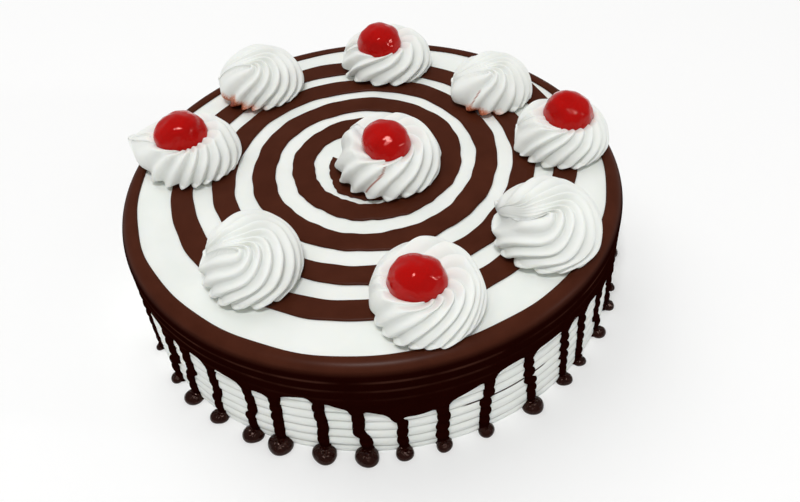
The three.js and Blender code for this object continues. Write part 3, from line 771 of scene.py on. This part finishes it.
# %% Rosettes
ROSETTES = {
    "front": dict(
        at=(20, -82.8), size=(22.3, 25.4, 24.6), cherry=(-3.4, -1.6, 11.4),
        starts=(166, 189, 206, 223, 239, 256, 272, 288, 303, 318, 332, 345), twist=17,
        tail=(1.0, 4.0, 0.3), bow=0.92, hollow=0.0, calm=1.15),
    "front_right": dict(
        at=(73, -50.3), size=(22.2, 23.8, 24), tail=(3.0, 8.0, 0.3),
        starts=(150, 178, 194, 212, 238, 262, 285, 305, 322, 336, 348), twist=15,
        hollow=3.8, fold=1.5, bow=1.3, dip=0.18, calm=1.0, merge=0.6),
    "right": dict(
        at=(90.2, 11.8), size=(21.2, 21.2, 21.5), cherry=(3.5, 1.8, 11.5),
        starts=(165, 194, 208, 227, 250, 268, 285, 300, 314, 327, 340, 352), twist=16,
        tight=1.18, calm=0.95, blobs=((-0.75 - 0.26j, 2.4, 0.1),)),
    "back_right": dict(
        at=(63, 55.6), size=(19.6, 19.8, 20.4),
        starts=(170, 215, 236, 262, 286, 304, 318, 330, 341, 352, 362), twist=12,
        tight=1.1, hollow=0.6, calm=1.4, blobs=((-0.6 - 0.22j, 2.4, 0.16),),
        soaked=(-115, 34, 8),
        crack=((-6.3, -13.2, 14), (-8.5, -15, 10.5), (-11, -16.4, 7.2), (-13.6, -16.6, 3.5))),
    "back": dict(
        at=(12, 88.4), size=(22.6, 20.6, 21.5), cherry=(-3, -2, 11.3),
        starts=(165, 192, 206, 235, 266, 288, 306, 322, 336, 348), twist=15),
    "back_left": dict(
        at=(-54, 76.2), size=(21, 21.2, 22),
        starts=(178, 214, 236, 252, 268, 288, 306, 320, 333, 345, 356), twist=13,
        hollow=0.4, calm=1.2, soaked=(-132, 44, 11)),
    "left": dict(
        at=(-84, 20.3), size=(22.4, 22, 21.6), cherry=(-3, 1.2, 12), tail=(11.0, 8.0, 0.42),
        starts=(162, 206, 232, 254, 270, 284, 298, 312, 325, 337, 348, 358), twist=9,
        hollow=0.3, tight=1.35, calm=0.8),
    "front_left": dict(
        at=(-50.4, -57), size=(20.3, 23.5, 24),
        starts=(168, 184, 203, 221, 238, 262, 290, 314, 332, 346, 358), twist=15,
        hollow=2.0, fold=1.2),
    "centre": dict(
        at=(8.7, 4.4), size=(23.6, 25.9, 23), cherry=(0, -2.4, 11.4),
        starts=(120, 160, 190, 212, 233, 254, 276, 294, 310, 324, 337, 349, 360), twist=8,
        tight=1.2, shift=0.03 + 0.15j, calm=1.0,
        crack=((-2, -15, 17), (-1.5, -20.1, 16.2), (-2.5, -20.7, 13.3), (-5, -22, 11.2),
               (-8.2, -22.3, 8.2), (-10.7, -21.9, 4.5))),
}

rosette_pieces = [make_piece("swirl_" + name, rosette(seed, **settings), ["rosette_" + name])
                  for seed, (name, settings) in enumerate(ROSETTES.items())]

# %% [markdown]
# ## Glacé cherries
# A candied cherry is a soft ball that has sagged a little and lost its roundness in the syrup. A
# ready-made sphere with a Displace modifier would be close. Worked out as a sphere in two angles,
# it can also be pressed a little flat and get slow bulges round it, all from one formula.

# %% Cherries
CHERRY_SQUASH = 0.93
CHERRY_ROWS, CHERRY_COLUMNS = 49, 96


def cherry_ball(seed, at, reach):
    """Rows from the top pole to the lower pole, columns round."""
    tilt = np.linspace(0, np.pi, CHERRY_ROWS)[:, None]
    around = all_round(CHERRY_COLUMNS)
    bulge = 1 + 0.035 * np.cos(2 * around + seed) + 0.02 * np.cos(3 * around - seed)
    out = np.sin(tilt) * bulge
    x, y = reach * out * np.cos(around), reach * out * np.sin(around)
    z = reach * CHERRY_SQUASH * np.cos(tilt) + 0 * around
    soft = 1 + 0.035 * drift(x, y, z, 17, seed + 60) + 0.014 * drift(x, y, z, 6, seed + 70)
    home = np.array([*at, CAKE_HEIGHT + CHERRY_CENTRE])
    return surface(np.stack([x * soft, y * soft, z * soft], axis=-1) + home, close_columns=True)


cherry_pieces = []
for seed, (name, settings) in enumerate(ROSETTES.items()):
    if "cherry" in settings:
        aside, away, reach = settings["cherry"]
        spot = (settings["at"][0] + aside, settings["at"][1] + away)
        cherry_pieces.append(make_piece("glace_" + name, [cherry_ball(seed, spot, reach)],
                                        ["cherry_" + name]))

# %% [markdown]
# ## Writing finishes as sums
# A finish is a small net of nodes. Most nodes in it only do sums, and sums are easier to read as
# Python. This class wraps a node's output so that +, -, * and / make the Math node by themselves.
# Another class holds the material and makes any other node from its type, settings and values.

# %% Finish helpers
MIX_FACTOR, MIX_FIRST, MIX_SECOND, MIX_RESULT = 0, 6, 7, 2


class Amount:
    """A number or colour that differs from place to place: the output of a node."""

    def __init__(self, finish, socket):
        self.finish = finish
        self.socket = socket

    def sum_node(self, operation, first, second):
        return self.finish.node("ShaderNodeMath", {"operation": operation},
                                {0: first, 1: second})

    def __add__(self, other):
        return self.sum_node("ADD", self, other)

    def __sub__(self, other):
        return self.sum_node("SUBTRACT", self, other)

    def __rsub__(self, other):
        return self.sum_node("SUBTRACT", other, self)

    def __mul__(self, other):
        return self.sum_node("MULTIPLY", self, other)

    def __truediv__(self, other):
        return self.sum_node("DIVIDE", self, other)

    __radd__ = __add__
    __rmul__ = __mul__

    def to_whole(self):
        """How far a number is from the nearest whole one, 0 to a half."""
        return self.sum_node("PINGPONG", self, 0.5)

    def rise(self, low, high):
        """0 below low and 1 above high, with a soft run between them."""
        return self.finish.node("ShaderNodeMapRange", {"interpolation_type": "SMOOTHSTEP"},
                                {"Value": self, "From Min": low, "From Max": high})


class Finish:
    """A material with a Principled shader, and the nodes that feed it."""

    def __init__(self, name, **constants):
        self.material = bpy.data.materials.new(name)
        self.material.use_nodes = True
        self.tree = self.material.node_tree
        self.shader = self.tree.nodes["Principled BSDF"]
        for key, value in constants.items():
            self.feed(key.replace("_", " "), value)

    def connect(self, socket, value):
        if isinstance(value, Amount):
            self.tree.links.new(value.socket, socket)
        else:
            socket.default_value = value

    def feed(self, name, value):
        self.connect(self.shader.inputs[name], value)

    def node(self, kind, settings=None, values=None, output=0):
        made = self.tree.nodes.new(kind)
        for key, value in (settings or {}).items():
            setattr(made, key, value)
        for key, value in (values or {}).items():
            self.connect(made.inputs[key], value)
        return Amount(self, made.outputs[output])

    def place(self):
        """Where a point is on the cake, in metres."""
        return self.node("ShaderNodeTexCoord", output="Object")

    def x_y_z(self):
        parts = self.node("ShaderNodeSeparateXYZ", values={0: self.place()}).socket.node
        return [Amount(self, socket) for socket in parts.outputs]

    def stored(self, name):
        """A number that was stored with the points of the mesh."""
        return self.node("ShaderNodeAttribute", {"attribute_name": name}, output="Fac")

    def noise(self, size_mm, detail=2.0, roughness=0.5, stretch=(1, 1, 1)):
        """Soft noise from 0 to 1 with blotches of about that size."""
        scaled = self.node("ShaderNodeVectorMath", {"operation": "MULTIPLY"},
                           {0: self.place(), 1: stretch})
        return self.node("ShaderNodeTexNoise", {}, {"Vector": scaled, "Scale": 1 / (size_mm * MM),
                                                   "Detail": detail, "Roughness": roughness})

    def mix(self, factor, first, second):
        """From the first colour to the second as the factor goes from 0 to 1."""
        return self.node("ShaderNodeMix", {"data_type": "RGBA"},
                         {MIX_FACTOR: factor, MIX_FIRST: first, MIX_SECOND: second},
                         output=MIX_RESULT)

    def relief(self, height, distance_mm, strength):
        """Small bumps too fine for the mesh."""
        self.feed("Normal", self.node("ShaderNodeBump", {}, {
            "Height": height, "Distance": distance_mm * MM, "Strength": strength}))

    def give_to(self, *pieces):
        for piece in pieces:
            piece.data.materials.clear()
            piece.data.materials.append(self.material)
        print(f"{self.material.name}: {len(self.tree.nodes)} nodes, on {len(pieces)} piece(s)")


def colour(red, green, blue):
    return (red, green, blue, 1.0)


# %% [markdown]
# ## Whipped cream
# Cream is white but not dead white: cool, a little see-through, and dull to softly glossy. With a
# plain white finish it would look like plaster. Light goes a millimetre or so into cream and comes
# out again, which softens every shadow, so it gets some subsurface scattering. On the smoothed
# coat the spatula left very faint streaks, each groove of the comb gets a fine painted shadow, and
# in one groove at the front right a little chocolate has run along.

# %% Finish of the coat
CREAM = dict(Subsurface_Weight=0.35, Subsurface_Radius=(1.0, 0.9, 0.75), Specular_IOR_Level=0.35)
CREAM_WHITE = colour(0.88, 0.90, 0.865)
CREAM_SHADE = colour(0.83, 0.86, 0.82)
GROOVE_SHADE = colour(0.50, 0.50, 0.47)
CHOCOLATE_TRACE = colour(0.030, 0.006, 0.004)
# Where the trace of chocolate begins, is full, starts to fade and has ended, in mm: up the side
# and from left to right
TRACE_UP = (18, 18.5, 23, 23.5)
TRACE_ACROSS = (30, 34, 66, 69)


def between(value, begins, full, fades, ends):
    """1 from full to fades, 0 before begins and after ends, all in mm."""
    return value.rise(begins * MM, full * MM) * (1 - value.rise(fades * MM, ends * MM))


coat = Finish("whipped cream", Subsurface_Scale=0.0012, **CREAM)
x, y, height = coat.x_y_z()
groove = coat.stored("groove")
plain = coat.mix(coat.noise(26, 3).rise(0.35, 0.7), CREAM_WHITE, CREAM_SHADE)
# Painted shade: the comb's grooves are darkened, standing in for their fine shadows
groove_shaded = coat.mix(groove.rise(0.45, 0.95), plain, GROOVE_SHADE)
at_front = 1 - y.rise(-0.01, 0.0)
trace_place = between(height, *TRACE_UP) * between(x, *TRACE_ACROSS) * at_front
traced = trace_place * groove.rise(0.42, 0.55) * coat.noise(5, 3).rise(0.32, 0.42)
coat.feed("Base Color", coat.mix(traced, groove_shaded, CHOCOLATE_TRACE))
coat.feed("Roughness", 0.42 + 0.2 * coat.noise(9, 4))
coat.relief(coat.noise(3.2, 3, stretch=(0.25, 1, 1)), 0.12, 0.35)
coat.give_to(cream_piece)

# %% [markdown]
# ## Piped cream
# The rosettes are of the same cream. Their valleys and the nozzle's hollow get a little painted
# shade. A soaked foot is pinkish at its edge and brown in the middle, and blotchy all over.

# %% Finish of the rosettes
VALLEY_SHADE = colour(0.70, 0.72, 0.69)
SOAKED_PINK = colour(0.66, 0.22, 0.11)
SOAKED_BROWN = colour(0.24, 0.035, 0.010)
CRACK_RED = colour(0.36, 0.09, 0.055)

piped = Finish("piped cream", Subsurface_Scale=0.001, **CREAM)
soaked = piped.stored("soaked") * (0.3 + 1.4 * piped.noise(0.9, 3))
# Painted shade in the valleys and in the nozzle's hollow
shaded = piped.mix(piped.stored("valley").rise(0.1, 1.0), CREAM_WHITE, VALLEY_SHADE)
pinkish = piped.mix(soaked.rise(0.12, 0.6), shaded, SOAKED_PINK)
brown = piped.mix(soaked.rise(0.45, 0.8), pinkish, SOAKED_BROWN)
piped.feed("Base Color", piped.mix(piped.stored("crack"), brown, CRACK_RED))
piped.feed("Roughness", 0.4 + 0.2 * piped.noise(7, 3))
piped.relief(piped.noise(1.6, 4), 0.12, 0.3)
piped.give_to(*rosette_pieces)

# %% [markdown]
# ## Chocolate glaze
# On the side the set glaze is nearly black and hardly shines. Over the shoulder and on the top it
# is painted a lighter warm brown, as where glaze faces the light, and it gets a soft sheen. Faint
# lighter lines on the side, at the comb's grooves under the glaze, are painted highlights. The
# drops are still wet, and their wrinkled skin breaks every reflection into sparks.

# %% Chocolate finishes
SHADED_SIDE_DARK, SHADED_SIDE_LIGHT = colour(0.009, 0.0010, 0.0005), colour(0.014, 0.0018, 0.0010)
LIT_TOP_DARK, LIT_TOP_LIGHT = colour(0.044, 0.0092, 0.0034), colour(0.079, 0.0200, 0.0095)
RIB_HIGHLIGHT_BROWN = colour(0.050, 0.018, 0.012)
WET_DARK, WET_LIGHT = colour(0.008, 0.0009, 0.0005), colour(0.018, 0.0030, 0.0017)

glaze = Finish("chocolate glaze", Specular_IOR_Level=0.0, Coat_Roughness=0.32)
height = glaze.x_y_z()[2]
high_up = height.rise(0.0518, 0.0556)
# Painted highlights: faint lighter lines at the comb's grooves, high on the side of the glaze
from_groove = ((height - FIRST_GROOVE * MM) / (RIDGE_PITCH * MM)).to_whole()
rib_highlight = (1 - from_groove.rise(0.02, 0.2)) * glaze.noise(24, 3).rise(0.35, 0.65)
# Painted shade: the side, which gets less light, is nearly black
thick = glaze.mix(glaze.noise(14, 3), SHADED_SIDE_DARK, SHADED_SIDE_LIGHT)
thick = glaze.mix(rib_highlight * height.rise(0.032, 0.052), thick, RIB_HIGHLIGHT_BROWN)
# Painted light: the top and the shoulder are a lighter warm brown than the side
lit_top = glaze.mix(glaze.noise(10, 4), LIT_TOP_DARK, LIT_TOP_LIGHT)
glaze.feed("Base Color", glaze.mix(high_up, thick, lit_top))
glaze.feed("Coat Weight", 0.17 * high_up)
glaze.feed("Roughness", 0.22 + 0.14 * glaze.noise(5, 3))
glaze.relief(glaze.noise(2.4, 3), 0.08, 0.35)
glaze.give_to(collar_piece, drips_piece, spiral_piece)

wet = Finish("wet chocolate", Specular_IOR_Level=0.24, Specular_Tint=colour(1, 0.7, 0.6))
wet.feed("Base Color", wet.mix(wet.noise(3, 3), WET_DARK, WET_LIGHT))
wet.feed("Roughness", 0.03 + 0.08 * wet.noise(1.5, 3))
wet.relief(wet.noise(1.7, 2, 0.6), 0.3, 0.6)
wet.give_to(drops_piece)

# %% [markdown]
# ## Syrup-glazed cherry
# The cherry's flesh is deep clear red, and the syrup on it gives small hard highlights. Glass would
# let the cream shine through, so it gets a deep colour into which light sinks a few millimetres.
# The skin is finely wrinkled, so the highlights are broken.

# %% Cherry finish
CHERRY_DARK, CHERRY_LIGHT = colour(0.38, 0.0006, 0.0004), colour(0.50, 0.0012, 0.0006)

syrup = Finish("glace cherry", Subsurface_Weight=0.25, Subsurface_Radius=(1.0, 0.12, 0.06),
               Subsurface_Scale=0.003, Specular_IOR_Level=0.4, Specular_Tint=colour(1, 0.45, 0.4))
syrup.feed("Base Color", syrup.mix(syrup.noise(9, 2), CHERRY_DARK, CHERRY_LIGHT))
syrup.feed("Roughness", 0.03 + 0.06 * syrup.noise(4, 2))
syrup.relief(syrup.noise(3.0, 4, 0.6), 0.45, 0.4)
syrup.give_to(*cherry_pieces)

# %% [markdown]
# ## Floor and light
# The cake stands on a plain pale floor under an even pale sky, which fills the shadows. Of the
# three lamps, the broad one stands high, behind and to the left. It shapes the ridges and lets
# their shadows fall towards the front right. It is hidden from reflections, because a broad
# reflection would lie as a grey veil on the dark glaze and the cherries. A smaller lamp above the
# viewer gives the highlights, and a weak low one at the right lights the drips on that side.

# %% Stage
FLOOR_HALF = 4.0
LAMP_TARGET = Vector((0, 0, 0.05))
SKY_STRENGTH = 0.4

floor_mesh = bpy.data.meshes.new("floor")
floor_mesh.from_pydata([(-FLOOR_HALF, -FLOOR_HALF, 0), (FLOOR_HALF, -FLOOR_HALF, 0),
                        (FLOOR_HALF, FLOOR_HALF, 0), (-FLOOR_HALF, FLOOR_HALF, 0)],
                       [], [(0, 1, 2, 3)])
floor = bpy.data.objects.new("floor", floor_mesh)
bpy.context.scene.collection.objects.link(floor)
paper = Finish("floor", Base_Color=colour(0.99, 0.99, 0.99), Roughness=0.9,
               Specular_IOR_Level=0.1)
paper.give_to(floor)


def lamp(name, azimuth, elevation, distance, width, height, watts):
    """A rectangular area lamp that looks at the cake. Azimuth is counted in degrees from the
    front (-Y) towards the right."""
    data = bpy.data.lights.new(name, "AREA")
    data.shape = "RECTANGLE"
    data.size = width
    data.size_y = height
    data.energy = watts
    made = bpy.data.objects.new(name, data)
    a, e = math.radians(azimuth), math.radians(elevation)
    toward = Vector((math.sin(a) * math.cos(e), -math.cos(a) * math.cos(e), math.sin(e)))
    made.matrix_world = (Matrix.Translation(LAMP_TARGET + toward * distance)
                         @ toward.to_track_quat("Z", "Y").to_matrix().to_4x4())
    bpy.context.scene.collection.objects.link(made)
    print(f"{name}: {watts} W from {distance} m away")
    return made


broad = lamp("broad lamp", -150, 58, distance=3.2, width=2.6, height=2.6, watts=30)
broad.visible_glossy = False
lamp("front lamp", -8, 69, distance=2.6, width=0.7, height=0.25, watts=29)
lamp("side lamp", 75, 16, distance=2.6, width=0.2, height=0.2, watts=4)

sky = bpy.data.worlds.new("sky")
bpy.context.scene.world = sky
sky.use_nodes = True
sky_light = sky.node_tree.nodes["Background"]
sky_light.inputs["Color"].default_value = (1.0, 1.0, 0.99, 1)
sky_light.inputs["Strength"].default_value = SKY_STRENGTH
bpy.context.scene.view_settings.view_transform = "Standard"
